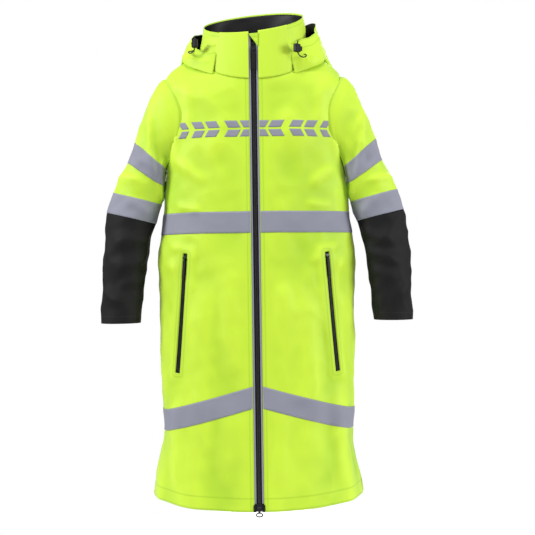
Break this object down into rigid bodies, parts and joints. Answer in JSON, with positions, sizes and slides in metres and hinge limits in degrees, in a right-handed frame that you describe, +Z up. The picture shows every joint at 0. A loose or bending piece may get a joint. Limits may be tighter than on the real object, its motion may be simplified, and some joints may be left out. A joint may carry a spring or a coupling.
{
  "type": "foul weather coat",
  "caption": "Long hooded foul weather coat with black forearms, reflective tapes, two-way front zip, long pocket zips and a stowed hood with cord locks",
  "frame": {"origin": "top of the hang loop inside the back neck, where the coat hangs from a hook", "axes": "+X towards the wearer's left, +Y towards the wearer's back, +Z up along the coat"},
  "size_m": [0.744, 0.3326, 1.1866],
  "materials": {
    "yellow_cloth": "waterproof coated cloth, matt",
    "black_cloth": "waterproof coated cloth, matt",
    "lining": "smooth polyester lining",
    "reflective": "glass bead reflective tape",
    "black_plastic": "moulded, satin",
    "zip_metal": "cast and polished"
  },
  "bodies": {
    "coat": {"back_panel": "yellow_cloth", "body_lining": "lining", "collar_facing_left": "yellow_cloth", "collar_facing_right": "yellow_cloth", "collar_lining": "lining", "collar_shell": "yellow_cloth", "cord_lock_left": "black_plastic", "cord_lock_right": "black_plastic", "front_panel_left": "yellow_cloth", "front_panel_right": "yellow_cloth", "hang_loop": "black_cloth", "hood_cord_left": "black_cloth", "hood_cord_right": "black_cloth", "hood_lining": "lining", "hood_shell": "yellow_cloth", "lower_tape_back": "reflective", "lower_tape_left": "reflective", "lower_tape_right": "reflective", "pocket_bag_left": "lining", "pocket_bag_right": "lining", "pocket_zip_left": "black_cloth", "pocket_zip_right": "black_cloth", "sleeve_lining_left": "lining", "sleeve_lining_right": "lining", "sleeve_lower_left": "black_cloth", "sleeve_lower_right": "black_cloth", "sleeve_tape_lower_left": "reflective", "sleeve_tape_lower_right": "reflective", "sleeve_tape_upper_left": "reflective", "sleeve_tape_upper_right": "reflective", "sleeve_upper_left": "yellow_cloth", "sleeve_upper_right": "yellow_cloth", "waist_tape_back": "reflective", "waist_tape_left": "reflective", "waist_tape_right": "reflective", "zip_end_patch_left": "black_plastic", "zip_end_patch_right": "black_plastic", "zip_garage": "yellow_cloth", "zip_piping_left": "reflective", "zip_piping_right": "reflective", "zip_tape_left": "black_cloth", "zip_tape_right": "black_cloth"},
    "zip_slider_top": {"zip_slider_top": "zip_metal"},
    "zip_pull_top": {"zip_pull_top": "black_plastic"},
    "zip_slider_bottom": {"zip_slider_bottom": "zip_metal"},
    "zip_ring_bottom": {"zip_ring_bottom": "zip_metal"},
    "pocket_slider_left": {"pocket_slider_left": "zip_metal"},
    "pocket_pull_left": {"pocket_pull_left": "black_plastic"},
    "pocket_slider_right": {"pocket_slider_right": "zip_metal"},
    "pocket_pull_right": {"pocket_pull_right": "black_plastic"},
    "cord_lock_button_left": {"cord_lock_button_left": "black_plastic"},
    "cord_lock_button_right": {"cord_lock_button_right": "black_plastic"}
  },
  "joints": [
    {"name": "front_zip_top_slide", "type": "slide", "parent": "coat", "child": "zip_slider_top", "axis": [0, -0.0599, -0.9982], "range_m": [0, 0.48]},
    {"name": "front_zip_top_pull", "type": "hinge", "parent": "zip_slider_top", "child": "zip_pull_top", "pos_m": [0, -0.15696, -0.0582], "axis": [-1, 0, 0], "range_deg": [0, 120]},
    {"name": "front_zip_bottom_slide", "type": "slide", "parent": "coat", "child": "zip_slider_bottom", "axis": [0, 0.0599, 0.9982], "range_m": [0, 0.48]},
    {"name": "front_zip_bottom_ring", "type": "hinge", "parent": "zip_slider_bottom", "child": "zip_ring_bottom", "pos_m": [0, -0.22023, -1.1128], "axis": [-1, 0, 0], "range_deg": [0, 120]},
    {"name": "pocket_left_slide", "type": "slide", "parent": "coat", "child": "pocket_slider_left", "axis": [0.0789, 0.0074, -0.9969], "range_m": [0, 0.255]},
    {"name": "pocket_left_pull", "type": "hinge", "parent": "pocket_slider_left", "child": "pocket_pull_left", "pos_m": [0.16748, -0.16112, -0.54229], "axis": [-0.8792, -0.4709, -0.0731], "range_deg": [0, 110]},
    {"name": "pocket_right_slide", "type": "slide", "parent": "coat", "child": "pocket_slider_right", "axis": [-0.0789, 0.0074, -0.9969], "range_m": [0, 0.255]},
    {"name": "pocket_right_pull", "type": "hinge", "parent": "pocket_slider_right", "child": "pocket_pull_right", "pos_m": [-0.16748, -0.16112, -0.54229], "axis": [-0.8792, 0.4709, 0.0731], "range_deg": [0, 110]},
    {"name": "cord_lock_left_press", "type": "slide", "parent": "coat", "child": "cord_lock_button_left", "axis": [-0.6297, -0.7768, 0], "range_m": [0, 0.003], "stiffness_N_per_m": 400, "springref_m": -0.002},
    {"name": "cord_lock_right_press", "type": "slide", "parent": "coat", "child": "cord_lock_button_right", "axis": [0.4015, -0.9159, 0], "range_m": [0, 0.003], "stiffness_N_per_m": 400, "springref_m": -0.002}
  ]
}
